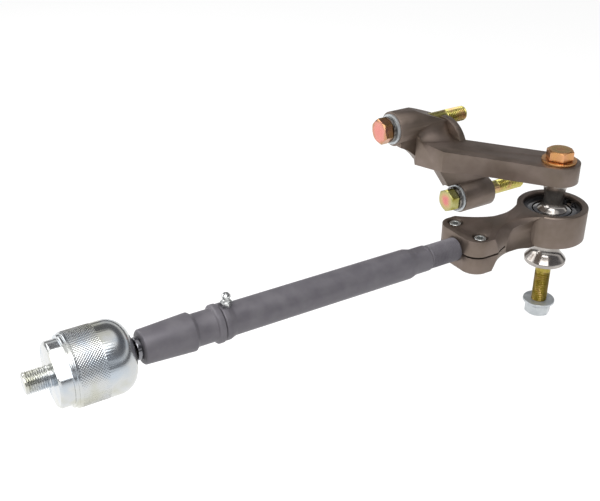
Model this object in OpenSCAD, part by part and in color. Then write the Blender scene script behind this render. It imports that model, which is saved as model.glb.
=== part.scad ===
// Double shear steering tie rod: a ball-joint rack end, an adjustable swivelling tube,
// a split clamp rod end with a spherical bearing, and the brace arm that takes its bolt.
// Millimetres. +X runs along the rod from the rack stud, +Z is up along the pivot bolt.
// The origin is on the rod's axis, at the shoulder of the rack stud.

/* [Rack end] */
// Diameter of the threaded stud that screws into the steering rack
stud_d = 16; // [14:0.5:18]
// Length of the rack stud
stud_l = 18; // [14:1:24]
// Diameter of the wrench collar behind the stud
collar_d = 46.8; // [44:0.2:50]
// Thickness of the wrench collar
collar_t = 9.5; // [7:0.5:12]
// Distance across the two wrench flats of the collar
collar_flats = 41; // [38:0.5:43]
// Outside diameter of the ball housing
housing_d = 53.4; // [50:0.2:58]
// Length of the ball housing from the collar to its mouth
housing_l = 47.1; // [45:0.1:54]
// Diameter of the mouth that the ball stud leaves through
mouth_d = 28; // [27:0.5:32]
// Radius of the housing's rolled shoulder
lip_r = 15; // [13:0.5:16]
// Turn of the collar's flats about the rod's axis
collar_turn = 40; // [0:1:90]

/* [Inner ball] */
// Diameter of the ball
ball_d = 31; // [29:0.5:33]
// Wall of the ball seat
seat_t = 1.8; // [1.4:0.1:2.4]
// Wall of the slippery liner inside the seat
seat_liner_t = 0.8; // [0.6:0.1:1]
// Distance from the middle of the ball to the mouth
ball_depth = 19.6; // [18:0.2:22]
// Diameter of the neck of the ball stud
neck_d = 14; // [12:0.5:15]
// Diameter of the threaded shank of the ball stud
shank_d = 12; // [10:0.5:13]
// Length of the threaded shank
shank_l = 46; // [36:1:56]

/* [Boot adapter] */
// Free length of neck between the mouth and the adapter
neck_gap = 7; // [6:0.2:10]
// Length of the tapered barrel
barrel_l = 38.6; // [32:0.2:46]
// Diameter of the barrel at its small end
barrel_d1 = 25.6; // [22:0.2:28]
// Diameter of the barrel at its large end
barrel_d2 = 29.2; // [28:0.2:32]
// Width of the groove that takes the boot's small lip
boot_groove_w = 14; // [10:0.5:18]
// Diameter at the bottom of the boot groove
boot_groove_d = 24.8; // [22:0.2:26]
// Width of the flange beside the groove
flange_w = 4.6; // [3:0.2:7]
// Diameter of that flange
flange_d = 29.6; // [28:0.2:32]
// Diameter of the spigot that the tube swivels on
spigot_d = 15.4; // [15:0.2:16]
// Length of the spigot
spigot_l = 28; // [24:1:36]

/* [Tube] */
// Outside diameter of the tube
tube_d = 25; // [24:0.2:27]
// Length of the tube from the swivel to the shoulder
tube_l = 168.9; // [120:0.1:320]
// Diameter of the collar at the swivel end
tube_collar_d = 28.4; // [27:0.2:31]
// Bore of the tube
tube_bore = 16; // [14:0.5:17]
// Diameter of the wrench neck
wrench_d = 21.6; // [21:0.2:24]
// Distance across the wrench flats
wrench_flats = 19; // [17:0.5:20]
// Length of the wrench neck with its shoulder
wrench_l = 20.9; // [15:0.1:30]
// Diameter of the adjuster thread
thread_d = 20; // [18:0.5:21]
// Length of thread that shows
thread_out = 29.6; // [18:0.2:45]
// Length of thread inside the clamp
thread_in = 26; // [22:0.5:28]

/* [Clamp end] */
// Distance from the face of the jaws to the middle of the bearing
clamp_reach = 111; // [108:0.5:118]
// Width across the jaws
jaw_w = 51; // [49:0.5:54]
// Radius of the corners of the jaws
jaw_corner = 13; // [8:0.5:15]
// Height of the clamp end
clamp_h = 30; // [28:0.5:34]
// Outside diameter of the bearing ring
ring_d = 62; // [60:0.5:66]
// Radius turned round the neck
neck_turn_r = 52; // [46:1:58]
// Diameter left at the waist of the neck
neck_waist = 33.4; // [32:0.2:35]
// Radius of the side scallops
scallop_r = 20; // [18:0.5:21]
// Thickness of neck left between the scallops
scallop_web = 13.6; // [12:0.2:16]
// Width of the slit between the jaws
slit_w = 1.6; // [1.2:0.1:2.4]
// Diameter of the two pinch screws
pinch_d = 8; // [7:0.5:8]
// Distance between the two pinch screws
pinch_pitch = 32; // [31:0.5:33]

/* [Bearing] */
// Outside diameter of the bearing race
race_d = 50.8; // [49:0.2:52]
// Width of the bearing race
race_w = 20; // [18:0.5:21]
// Diameter of the bearing ball
bearing_ball_d = 38.1; // [36:0.1:39]
// Width of the bearing ball across its flat faces
bearing_ball_w = 26; // [24:0.5:28]
// Thickness of the liner between race and ball
liner_t = 1.1; // [0.8:0.1:1.6]
// Thickness of the retaining rings
circlip_t = 1.5; // [1:0.1:1.8]

/* [Pivot] */
// Thread diameter of the pivot bolt and of both knuckle bolts
bolt_d = 14; // [12:0.5:14]
// Distance across the flats of their heads and of the nut
bolt_hex = 21; // [19:0.5:22]
// How far the pivot bolt ends inside the flange nut
nut_spare = 3; // [1:0.5:5]
// Length of the pivot bolt's thread
pivot_thread = 42; // [38:1:50]
// Height of the knuckle gap between the lower spacer and the flange nut
knuckle_gap = 40.7; // [36:0.1:44]
// Height of the flange nut
nut_h = 14; // [12:0.5:16]
// Diameter of the nut's flange
nut_flange_d = 29; // [27:0.5:31]
// Height of the upper spacer above the bearing ball
upper_spacer_h = 25.5; // [23:0.5:32]
// Height of the lower spacer below the bearing ball
lower_spacer_h = 29.3; // [26:0.1:34]
// Diameter of the lower spacer's flange
spacer_flange_d = 37.3; // [34:0.1:42]

/* [Brace arm] */
// Thickness of the arm
arm_t = 17; // [14:0.5:19]
// Width of the arm
arm_w = 37.4; // [34:0.2:42]
// Direction of the arm from the pivot, from +X towards +Y
arm_az = 126.2; // [122:0.2:130]
// Distance of both knuckle bolts behind the pivot, along Y
bolt_y = 118; // [112:1:124]
// Height of the upper knuckle bolt above the bearing
bolt_z_up = 65; // [63:1:68]
// Height of the lower knuckle bolt below the bearing
bolt_z_low = -25; // [-30:1:-22]
// Length of the lower knuckle boss
boss_l = 37.2; // [34:0.2:42]
// Diameter of the upper boss
boss_d_up = 32; // [29:0.5:33]
// Diameter of the lower boss
boss_d_low = 30; // [27:0.5:32]
// Length of both knuckle bolts under their heads
knuckle_bolt_l = 90; // [85:1:95]
// Length of the upper knuckle bolt's thread
thread_up = 24; // [20:1:26]
// Length of the lower knuckle bolt's thread
thread_low = 34; // [30:1:40]

/* [Hidden] */
$fn = 72;

// Clearances: running fits, press fits, loose holes, and plain air between pieces
run = 0.05;
press = 0.02;
loose = 0.3;
air = 0.3;
// Overshoot of a cutting tool, and small edge breaks
cut = 1;
edge = 0.8;

// Stations along the rod
mouth_x = collar_t + housing_l;
ball_x = mouth_x - ball_depth;
adapter_x = mouth_x + neck_gap;
step = 1.4;
groove_x = adapter_x + barrel_l + 2 * step;
flange_x = groove_x + boot_groove_w + step;
seam_x = flange_x + flange_w;
tube_x = seam_x + air * 2;
shoulder_x = tube_x + tube_l;
thread_x = shoulder_x + wrench_l;
clamp_x = thread_x + thread_out;
bearing_x = clamp_x + clamp_reach;

// Inner ball and its seat
ball_r = ball_d / 2;
liner_in = ball_r + run;
liner_out = liner_in + seat_liner_t;
seat_in = liner_out + run;
seat_out = seat_in + seat_t;
socket_r = seat_out + run;
disc_t = 1.6;
disc_r = 13;

// Swivel between the boot adapter and the tube
seal_t = 1.8;
bush_x = tube_x + seal_t + 2 * press;
bush_l = 20;
bush_wall = 2.4;
bush_out = spigot_d / 2 + run + bush_wall;
clip_t = 1.5;
clip_gap = 0.3;
clip_x = bush_x + bush_l + clip_gap;

// Grease fitting on the tube's collar
fitting_x = tube_x + 6.2;
fitting_hex = 8;
fitting_spot_d = 12;
spot_z = tube_d / 2 - 0.2;

// Clamp end
half_h = clamp_h / 2;
ring_r = ring_d / 2;
pinch_x = clamp_x + 13.3;
pinch_head_d = 13;
pinch_head_h = 8;
pinch_sink = 9;
thread_room = 14;
jaw_depth = thread_in + thread_room;
scallop_x = bearing_x - 51;
waist_x = bearing_x - 56;
waist_l = 6;
scallop_drop = 2;

// Bearing
race_r = race_d / 2;
race_in = bearing_ball_d / 2 + run + liner_t + run;
ball_half = bearing_ball_w / 2;
spigot_r = 9.4;
clip_z = race_w / 2 + press;
clip_seat = 1.4;
clip_band = 3.6;

// Heights on the pivot
bolt_r = bolt_d / 2;
hole_r = bolt_r + 0.1;
arm_z = ball_half + upper_spacer_h;
arm_top = arm_z + arm_t;
washer_t = 2.5;
washer_d = 30;
head_z = arm_top + washer_t;
head_h = 8.8;
spacer_low_z = -ball_half - lower_spacer_h;
nut_z = spacer_low_z - knuckle_gap;
spacer_rim = 3.8;
pivot_l = head_z - nut_z + nut_h - nut_spare;
waist_r = 8.4;
waist_z = 20;

// Brace arm, measured from the pivot
block_x = -75.5;
block_foot_x = -65;
block_rear_x = -57;
boss_x_up = -93;
boss_x_low = -6.7;
block_z = 31;
block_relief_y = 50;
block_tip_y = 103.6;
block_wall_y = 103.6;
block_back_y = 131;
block_fillet = 9;
plate_x = -42.5;
plate_w = 6.5;
plate_r = 29;
plate_y = 106.5;
plate_z = 41.5;
face_x = plate_x + plate_w;
rear_y = (sin(arm_az) * face_x - arm_w / 2) / cos(arm_az);
crown_x = -74.5;
crown_slope = 21.5;
root_r = 56;
root_x = -113;
root_z = -1.5;
root_y = 105;
root_w = 12;
web_y = 117;
web_w = 12;
flat_t = 2.5;
lock_t = 3.5;
spot_d = 31.4;
spot_l = 40;
knuckle_washer_d = 28;
bolt_hole_r = bolt_r + 0.25;

// Places a child on the pivot axis, or turns one to lie along +X
module at_pivot() { translate([bearing_x, 0, 0]) children(); }
module along_x(x = 0) { translate([x, 0, 0]) rotate([0, 90, 0]) children(); }

// A round bar along +X with a small edge break at both ends
module bar_x(x, d, l, c = edge) {
  along_x(x) rotate_extrude()
    polygon([[0, 0], [d / 2 - c, 0], [d / 2, c], [d / 2, l - c], [d / 2 - c, l], [0, l]]);
}

// Outline of a body turned along +X, from pairs of station and radius
module turned_x(profile) {
  rotate([0, 90, 0]) rotate_extrude()
    polygon(concat([[0, profile[0][0]]], [for (p = profile) [p[1], p[0]]],
      [[0, profile[len(profile) - 1][0]]]));
}

module hex(af, h) { cylinder(d = af / cos(30), h = h, $fn = 6); }

// Two parallel flats milled on a bar along +X
module flats_x(x, l, across, d) {
  for (s = [-1, 1]) translate([x, -d, s > 0 ? across / 2 : -across / 2 - d]) cube([l, 2 * d, d]);
}

// Steel rack end: threaded stud, wrench collar and socket, its mouth rolled over the ball
module rack_housing() color("silver") difference() {
  union() {
    bar_x(-stud_l, stud_d, stud_l + collar_t / 2, 1.2);
    difference() {
      bar_x(0, collar_d, collar_t + cut, 1.5);
      rotate([collar_turn, 0, 0]) flats_x(-cut, collar_t + cut, collar_flats, collar_d);
    }
    along_x(collar_t) rotate_extrude() housing_outline();
  }
  along_x(ball_x) sphere(r = socket_r);
  turned_x([[ball_x + socket_r - 5.5, mouth_d / 2 - 1.2], [mouth_x - 2, mouth_d / 2 - 1.2],
    [mouth_x + cut, mouth_d / 2 + 1.8]]);
  bar_x(ball_x - socket_r - disc_t, 2 * disc_r + 2 * air, socket_r - 3, 0.2);
}

// Half section of the housing barrel: a step, a straight wall and the rolled lip
module housing_outline() {
  wall = housing_d / 2;
  step_l = 2.2;
  step_d = 1.1;
  union() {
    polygon([[0, 0], [wall - step_d - edge, 0], [wall - step_d, edge], [wall - step_d, step_l],
      [wall - 0.5, step_l], [wall, step_l + 0.5], [wall, housing_l - lip_r],
      [wall - lip_r, housing_l], [0, housing_l]]);
    translate([wall - lip_r, housing_l - lip_r]) intersection() {
      circle(r = lip_r);
      square(lip_r);
    }
  }
}

// Spherical shell round the ball, open towards the mouth and pierced for grease at the back
module ball_shell(inside, outside) difference() {
  along_x(ball_x) sphere(r = outside);
  along_x(ball_x) sphere(r = inside);
  translate([ball_x + 8.4, -housing_d / 2, -housing_d / 2]) cube([housing_d, housing_d, housing_d]);
  along_x(ball_x - seat_out - cut) cylinder(r = 5, h = seat_out);
}
module ball_seat() color("whitesmoke") ball_shell(seat_in, seat_out);
module seat_liner() color("tan") ball_shell(liner_in, liner_out);

// Coned spring disc that preloads the seat
module preload_disc() color("dimgray")
  along_x(ball_x - seat_out - disc_t + 0.4) rotate_extrude()
    polygon([[5, 0], [disc_r - 0.6, 0], [disc_r - 0.6, 0.9], [5, 1.6]]);

// Forged stud: ball, waisted neck and threaded shank
module ball_stud() color("dimgray") union() {
  along_x(ball_x) sphere(r = ball_r);
  turned_x([[ball_x + ball_r - 3, neck_d / 2 + 1.6], [ball_x + ball_r + 0.4, neck_d / 2],
    [adapter_x - 1.4, neck_d / 2], [adapter_x - 0.4, shank_d / 2], [adapter_x + shank_l - 1, shank_d / 2],
    [adapter_x + shank_l, shank_d / 2 - 1]]);
}

// Turned adapter: taper, boot groove, flange, and the spigot that carries the tube
module boot_adapter() color("#6f6b72") difference() {
  turned_x([[adapter_x, barrel_d1 / 2 - 1.2], [adapter_x + 1.2, barrel_d1 / 2],
    [adapter_x + barrel_l, barrel_d2 / 2], [adapter_x + barrel_l + step, barrel_d2 / 2 - step],
    [groove_x, boot_groove_d / 2], [groove_x + boot_groove_w, boot_groove_d / 2],
    [flange_x, flange_d / 2 - edge], [flange_x + edge, flange_d / 2],
    [seam_x - edge, flange_d / 2], [seam_x, flange_d / 2 - edge], [seam_x, spigot_d / 2],
    [clip_x - 0.1, spigot_d / 2], [clip_x - 0.1, spigot_d / 2 - 0.7],
    [clip_x + clip_t + 0.1, spigot_d / 2 - 0.7], [clip_x + clip_t + 0.1, spigot_d / 2],
    [seam_x + spigot_l - edge, spigot_d / 2], [seam_x + spigot_l, spigot_d / 2 - edge]]);
  bar_x(adapter_x - cut, shank_d + 2 * run, cut + shank_l + 2, 0.1);
}

// Grease seal between the flange and the bush
module swivel_seal() color("black") along_x(tube_x + seal_t / 2 + press) rotate_extrude()
  translate([spigot_d / 2 + run + seal_t / 2, 0]) circle(d = seal_t, $fn = 24);

// Bronze bush pressed into the tube
module swivel_bush() color("peru") along_x(bush_x) rotate_extrude()
  polygon([[spigot_d / 2 + run, 0], [bush_out - 0.4, 0], [bush_out, 0.4], [bush_out, bush_l],
    [spigot_d / 2 + run, bush_l]]);

// Spring ring that keeps the tube on the spigot
module swivel_clip() color("dimgray") along_x(clip_x) difference() {
  cylinder(r = bush_out - 0.9, h = clip_t);
  translate([0, 0, -cut]) cylinder(r = spigot_d / 2 - 0.6, h = clip_t + 2 * cut);
  translate([0, -1.2, -cut]) cube([bush_out, 2.4, clip_t + 2 * cut]);
}

// Hard-coated tube: swivel collar, grease port, wrench neck and adjuster thread
module rod_tube() color("#706c74") difference() {
  turned_x([[tube_x, tube_collar_d / 2 - edge], [tube_x + edge, tube_collar_d / 2],
    [tube_x + 4.4, tube_collar_d / 2], [tube_x + 9, tube_d / 2], [shoulder_x, tube_d / 2],
    [shoulder_x + 6, wrench_d / 2], [thread_x - 0.8, wrench_d / 2], [thread_x, thread_d / 2],
    [clamp_x + thread_in - 1.2, thread_d / 2], [clamp_x + thread_in, thread_d / 2 - 1.2]]);
  bar_x(tube_x - cut, 2 * bush_out + 2 * press, cut + bush_x - tube_x + bush_l, 0.05);
  bar_x(bush_x + bush_l - cut, 2 * bush_out - 0.8, cut + clip_gap + clip_t + 10, 0.05);
  bar_x(tube_x, tube_bore, tube_l - 6, 0.5);
  flats_x(shoulder_x + 7.5, wrench_l - 9.5, wrench_flats, wrench_d);
  translate([fitting_x, 0, spot_z]) cylinder(d = fitting_spot_d, h = tube_d);
  translate([fitting_x, 0, bush_out - cut]) cylinder(d = 5 + 2 * press, h = tube_d);
}

// Grease nipple: threaded shank, hexagon, waist and a rounded head with a blind hole
module grease_fitting() color("silver") translate([fitting_x, 0, spot_z]) difference() {
  union() {
    translate([0, 0, bush_out - spot_z + 0.3]) cylinder(d = 5, h = spot_z - bush_out);
    translate([0, 0, press]) hex(fitting_hex, 4.2);
    translate([0, 0, 2]) rotate_extrude() polygon([[0, 0], [2.6, 0], [2.6, 3.4], [1.9, 4.6],
      [1.9, 6], [3.1, 7.2], [3.1, 8], [1.8, 9.6], [0, 9.6]]);
  }
  translate([0, 0, 3]) cylinder(d = 1.8, h = 12, $fn = 24);
}

// Check ball of the nipple
module grease_ball() color("silver") translate([fitting_x, 0, spot_z + 10.4]) sphere(d = 1.7, $fn = 24);

// Billet clamp end: split jaws, turned and scalloped neck, bearing ring
module clamp_end() color("#6b5f58") difference() {
  union() {
    difference() {
      jaw_block();
      neck_turning();
      for (s = [-1, 1]) side_scallop(s);
    }
    at_pivot() ring_blank();
  }
  at_pivot() ring_bore();
  bar_x(clamp_x - cut, thread_d + 2 * run, cut + jaw_depth, 0.3);
  translate([clamp_x - cut, -jaw_w, -slit_w / 2]) cube([cut + jaw_depth, 2 * jaw_w, slit_w]);
  for (s = [-1, 1]) translate([pinch_x, s * pinch_pitch / 2, 0]) pinch_hole();
}

// Plan of the jaws and of the bar behind them, with round corners
module jaw_block() {
  translate([clamp_x, 0, -half_h]) linear_extrude(clamp_h) {
    translate([jaw_corner, -jaw_w / 2]) square([clamp_reach - 21 - jaw_corner, jaw_w]);
    translate([0, -jaw_w / 2 + jaw_corner]) square([jaw_corner + 1, jaw_w - 2 * jaw_corner]);
    for (s = [-1, 1]) translate([jaw_corner, s * (jaw_w / 2 - jaw_corner)]) circle(r = jaw_corner);
  }
}

// Ring-shaped cutter that turns the neck to a waist
module neck_turning() along_x(waist_x) rotate_extrude() {
  for (x = [0, waist_l]) translate([neck_waist / 2 + neck_turn_r, x]) circle(r = neck_turn_r);
  translate([neck_waist / 2, 0]) square([neck_turn_r, waist_l]);
}

// Ball-nosed scallop milled along one side of the neck
module side_scallop(s) translate([scallop_x, s * (scallop_web / 2 + scallop_r), -scallop_drop]) {
  sphere(r = scallop_r);
  along_x() cylinder(r = scallop_r, h = 54);
}

module ring_blank() rotate_extrude()
  polygon([[0, -half_h], [ring_r - edge, -half_h], [ring_r, -half_h + edge], [ring_r, half_h - edge],
    [ring_r - edge, half_h], [0, half_h]]);

// Bearing bore with its two retaining ring grooves
module ring_bore() rotate_extrude()
  polygon([[0, -half_h - cut], [race_r + press + edge, -half_h - cut], [race_r + press + edge, -half_h],
    [race_r + press, -half_h + edge], [race_r + press, -clip_z - circlip_t - 0.1],
    [race_r + clip_seat, -clip_z - circlip_t - 0.1], [race_r + clip_seat, -clip_z],
    [race_r + press, -clip_z], [race_r + press, clip_z], [race_r + clip_seat, clip_z],
    [race_r + clip_seat, clip_z + circlip_t + 0.1], [race_r + press, clip_z + circlip_t + 0.1],
    [race_r + press, half_h - edge], [race_r + press + edge, half_h],
    [race_r + press + edge, half_h + cut], [0, half_h + cut]]);

// Counterbore above the slit, clearance to it and tapped length below it
module pinch_hole() {
  translate([0, 0, half_h - pinch_sink]) cylinder(d = pinch_head_d + 0.9, h = pinch_sink + cut);
  cylinder(d = pinch_d + 0.5, h = half_h);
  translate([0, 0, -half_h - cut]) cylinder(d = pinch_d + 2 * press, h = half_h + cut);
}

// Socket head screw that squeezes the jaws
module pinch_screw(y) color("lightgray")
  translate([pinch_x, y, half_h - pinch_sink + press]) difference() {
    union() {
      rotate_extrude() polygon([[0, 0], [pinch_head_d / 2, 0], [pinch_head_d / 2, pinch_head_h - edge],
        [pinch_head_d / 2 - edge, pinch_head_h], [0, pinch_head_h]]);
      translate([0, 0, -18.5]) cylinder(d = pinch_d, h = 19);
    }
    translate([0, 0, pinch_head_h - 4]) hex(6, 4 + cut);
  }
module pinch_screw_front() pinch_screw(-pinch_pitch / 2);
module pinch_screw_rear() pinch_screw(pinch_pitch / 2);

// Outer race, its inside ground to a sphere
module bearing_race() color("gray") at_pivot() difference() {
  rotate_extrude() polygon([[0, -race_w / 2], [race_r - edge, -race_w / 2], [race_r, -race_w / 2 + edge],
    [race_r, race_w / 2 - edge], [race_r - edge, race_w / 2], [0, race_w / 2]]);
  sphere(r = race_in);
}

// Woven liner between race and ball
module bearing_liner() color("black") at_pivot() difference() {
  intersection() {
    sphere(r = race_in - run);
    cylinder(r = race_r, h = race_w - 5, center = true);
  }
  sphere(r = bearing_ball_d / 2 + run);
}

// Chromed ball with flat faces and a bore for the two spacers
module bearing_ball() color("silver") at_pivot() difference() {
  intersection() {
    sphere(d = bearing_ball_d);
    cylinder(d = bearing_ball_d, h = bearing_ball_w, center = true);
  }
  cylinder(r = spigot_r + run, h = bearing_ball_w + 2 * cut, center = true);
}

// Retaining ring with a gap and two eyes for pliers
module circlip(z) color("gray") at_pivot() translate([0, 0, z]) difference() {
  union() {
    difference() {
      cylinder(r = race_r + clip_seat - 0.2, h = circlip_t);
      translate([0, 0, -cut]) cylinder(r = race_r - clip_band, h = circlip_t + 2 * cut);
      translate([0, -3.2, -cut]) cube([ring_r, 6.4, circlip_t + 2 * cut]);
    }
    for (s = [-1, 1]) translate([race_r - 3.6, s * 5.4, 0]) cylinder(r = 2.6, h = circlip_t);
  }
  for (s = [-1, 1]) translate([race_r - 3.6, s * 5.4, -cut]) cylinder(r = 1.1, h = circlip_t + 2 * cut, $fn = 24);
}
module retaining_ring_upper() circlip(clip_z + 0.05);
module retaining_ring_lower() circlip(-clip_z - circlip_t - 0.05);

// Polished spacer: spigot in the ball, short cone on its face, barrel up to the arm
module upper_spacer() color("gainsboro") at_pivot() difference() {
  rotate_extrude() polygon([[0, 1.5], [spigot_r, 1.5], [spigot_r, ball_half + press],
    [spigot_r + 3.8, ball_half + press], [spigot_r + 3.8, ball_half + 0.8], [waist_r + 0.6, waist_z - 1.6],
    [waist_r, waist_z], [waist_r + 0.2, waist_z + 1.6], [spigot_r + 2.6, arm_z - edge],
    [spigot_r + 2, arm_z], [0, arm_z]]);
  translate([0, 0, -cut]) cylinder(r = hole_r, h = arm_z + 2 * cut);
}

// Polished spacer: spigot in the ball, barrel, and a cone out to a wide flange
module lower_spacer() color("gainsboro") at_pivot() difference() {
  rotate_extrude() lower_spacer_outline();
  translate([0, 0, spacer_low_z - cut]) cylinder(r = hole_r, h = -spacer_low_z + 2 * cut);
}

module lower_spacer_outline() {
  rim = spacer_flange_d / 2;
  barrel = spigot_r + 1.2;
  cone = rim - barrel;
  fillet = 5;
  difference() {
    polygon([[0, -1.5], [spigot_r, -1.5], [spigot_r, -ball_half - press],
      [spigot_r + 3.8, -ball_half - press], [spigot_r + 3.8, -ball_half - 0.8],
      [barrel + fillet, -ball_half - 3.4], [barrel + fillet, spacer_low_z + spacer_rim + cone - fillet],
      [rim - edge, spacer_low_z + spacer_rim], [rim, spacer_low_z + spacer_rim - edge],
      [rim, spacer_low_z + edge], [rim - edge, spacer_low_z], [0, spacer_low_z]]);
    hull() {
      translate([barrel + fillet, -ball_half - 3.4 - fillet]) circle(r = fillet);
      translate([barrel + fillet, spacer_low_z + spacer_rim + cone + 0.6]) circle(r = fillet);
      translate([barrel + 3 * fillet, -ball_half - 3.4 - fillet]) circle(r = fillet);
      translate([barrel + 3 * fillet, spacer_low_z + spacer_rim + cone + 0.6]) circle(r = fillet);
    }
  }
}

// Billet brace arm: pivot eye, straight arm, and two bosses bolted to the knuckle
module brace_arm() color("#6b5f58") at_pivot() difference() {
  union() {
    arm_blank();
    upper_boss();
    boss_root();
    knuckle_plate();
    web();
    lower_boss();
  }
  translate([0, 0, arm_z - cut]) cylinder(r = hole_r, h = arm_t + 2 * cut);
  along_boss(boss_x_up, bolt_z_up) cylinder(r = bolt_hole_r, h = face_x - boss_x_up + 2 * cut);
  along_boss(boss_x_low, bolt_z_low) cylinder(r = bolt_hole_r, h = boss_l + 2 * cut);
  along_boss(boss_x_low - spot_l, bolt_z_low) cylinder(d = spot_d, h = spot_l + cut);
}

module along_boss(x, z) translate([x - cut, bolt_y, z]) rotate([0, 90, 0]) children();

// Plan of the arm: round eye, straight bar, and the block that fills out to the knuckle plate
module arm_plan() intersection() {
  union() {
    circle(d = arm_w);
    rotate(arm_az) translate([0, -arm_w / 2]) square([bolt_y + arm_w, arm_w]);
    polygon([[block_x, block_tip_y], [face_x - arm_w / 2, rear_y], [face_x, rear_y + edge],
      [face_x, block_back_y], [block_rear_x, block_back_y]]);
  }
  polygon([[block_x, block_tip_y], [block_foot_x, -arm_w], [arm_w, -arm_w], [arm_w, block_back_y],
    [block_rear_x, block_back_y]]);
}

// Arm and block milled from one plate: relieved underneath along the arm, and lower on top
// with a cove up to the block
module arm_blank() difference() {
  translate([0, 0, block_z]) linear_extrude(bolt_z_up - block_z) arm_plan();
  translate([block_x - cut, 0, 0]) rotate([90, 0, 90]) linear_extrude(arm_w - block_x + 2 * cut)
    polygon([[-arm_w, block_z - cut], [-arm_w, arm_z], [block_relief_y, arm_z], [block_tip_y, block_z],
      [block_tip_y, block_z - cut]]);
  translate([block_x - cut, 0, 0]) rotate([90, 0, 90]) linear_extrude(arm_w - block_x + 2 * cut) union() {
    translate([-arm_w, arm_top]) square([arm_w + block_wall_y - block_fillet, bolt_z_up]);
    translate([0, arm_top + block_fillet]) square([block_wall_y, bolt_z_up]);
    translate([block_wall_y - block_fillet, arm_top + block_fillet]) circle(r = block_fillet);
  }
}

// Upper boss with its top sloping down towards the knuckle
module upper_boss() difference() {
  translate([boss_x_up, bolt_y, bolt_z_up]) rotate([0, 90, 0])
    cylinder(d = boss_d_up, h = face_x - boss_x_up);
  translate([crown_x, bolt_y - boss_d_up, bolt_z_up + boss_d_up / 2])
    rotate([0, crown_slope, 0]) cube([60, 2 * boss_d_up, 30]);
}

// Curved root between the underside of the upper boss and the block
module boss_root() translate([0, root_y + root_w, 0]) rotate([90, 0, 0])
  linear_extrude(root_w) difference() {
    translate([boss_x_up + 1.5, block_z]) square([block_rear_x - boss_x_up - 4, bolt_z_up - block_z - 5]);
    translate([root_x, root_z]) circle(r = root_r);
  }

// Round plate on the knuckle side, standing up over the arm
module knuckle_plate() translate([plate_x, 0, 0]) rotate([90, 0, 90]) linear_extrude(plate_w)
  intersection() {
    translate([plate_y, plate_z]) circle(r = plate_r);
    translate([0, block_z]) square([block_back_y, plate_r + plate_z]);
  }

// Web that carries the lower boss
module web() translate([0, web_y + web_w, 0]) rotate([90, 0, 0]) linear_extrude(web_w)
  polygon([[-48, block_z + 1], [-17.2, -13.9], [boss_x_low, -21],
    [boss_x_low + boss_l, -21], [boss_x_low + boss_l, -14], [20, 4], [-8, 32], [face_x, 48],
    [-48, 48]]);

module lower_boss() translate([boss_x_low, bolt_y, bolt_z_low]) rotate([0, 90, 0])
  cylinder(d = boss_d_low, h = boss_l);

// Hexagon head with its chamfered top and washer face, pointing up
module bolt_head() intersection() {
  hex(bolt_hex, head_h);
  rotate_extrude() polygon([[0, 0], [bolt_hex * 0.62, 0], [bolt_hex * 0.62, head_h - 1.6],
    [bolt_hex * 0.47, head_h], [0, head_h]]);
}

// Bolt standing head up, with a plain shank and a thread of the given length
module hex_bolt(l, thread, shank) {
  bolt_head();
  translate([0, 0, -l]) rotate_extrude() polygon([[0, 0], [bolt_r - 1.3, 0], [bolt_r, 1.3], [bolt_r, thread],
    [shank, thread + 0.8], [shank, l + 0.1], [0, l + 0.1]]);
}

module pivot_bolt() color("khaki") at_pivot() translate([0, 0, head_z + press])
  rotate(15) hex_bolt(pivot_l, pivot_thread, bolt_r - 0.15);

module pivot_washer() color("goldenrod") at_pivot() translate([0, 0, arm_top + press / 2]) difference() {
  rotate_extrude() polygon([[0, 0], [washer_d / 2, 0], [washer_d / 2, washer_t - 0.4],
    [washer_d / 2 - 0.4, washer_t], [0, washer_t]]);
  translate([0, 0, -cut]) cylinder(r = bolt_r + loose, h = washer_t + 2 * cut);
}

// Flange nut, its flange towards the knuckle
module flange_nut() color("lightgray") at_pivot() translate([0, 0, nut_z - nut_h]) difference() {
  union() {
    intersection() {
      hex(bolt_hex, nut_h - 2);
      rotate_extrude() polygon([[0, 0], [bolt_hex * 0.47, 0], [bolt_hex * 0.62, 1.6],
        [bolt_hex * 0.62, nut_h], [0, nut_h]]);
    }
    translate([0, 0, nut_h - 4.4]) rotate_extrude() polygon([[0, 0], [bolt_hex * 0.53, 0],
      [nut_flange_d / 2, 2.4], [nut_flange_d / 2, 4], [nut_flange_d / 2 - 0.4, 4.4], [0, 4.4]]);
  }
  translate([0, 0, -cut]) cylinder(r = bolt_r + press, h = nut_h + 2 * cut);
}

// Knuckle bolts lie along X with their heads on the rack side
module knuckle_bolt(x, z, thread) color("khaki") at_pivot()
  translate([x - flat_t - lock_t - press, bolt_y, z]) rotate([0, -90, 0]) rotate(10)
    hex_bolt(knuckle_bolt_l, thread, bolt_r - 0.15);
module knuckle_bolt_upper() knuckle_bolt(boss_x_up, bolt_z_up, thread_up);
module knuckle_bolt_lower() knuckle_bolt(boss_x_low, bolt_z_low, thread_low);

module knuckle_washers() color("silver") at_pivot()
  for (p = [[boss_x_up, bolt_z_up], [boss_x_low, bolt_z_low]])
    translate([p[0] - flat_t, bolt_y, p[1]]) rotate([0, 90, 0]) difference() {
      cylinder(d = knuckle_washer_d, h = flat_t - press / 2);
      translate([0, 0, -cut]) cylinder(r = bolt_r + loose, h = flat_t + 2 * cut);
    }

// Split spring washers under the heads
module knuckle_lock_washers() color("gray") at_pivot()
  for (p = [[boss_x_up, bolt_z_up], [boss_x_low, bolt_z_low]])
    translate([p[0] - flat_t - lock_t, bolt_y, p[1]]) rotate([0, 90, 0]) difference() {
      cylinder(d = knuckle_washer_d - 4, h = lock_t - press / 2);
      translate([0, 0, -cut]) cylinder(r = bolt_r + loose, h = lock_t + 2 * cut);
      rotate([20, 0, 0]) translate([0, -0.8, -cut]) cube([knuckle_washer_d, 1.2, lock_t + 4 * cut]);
    }

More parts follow.
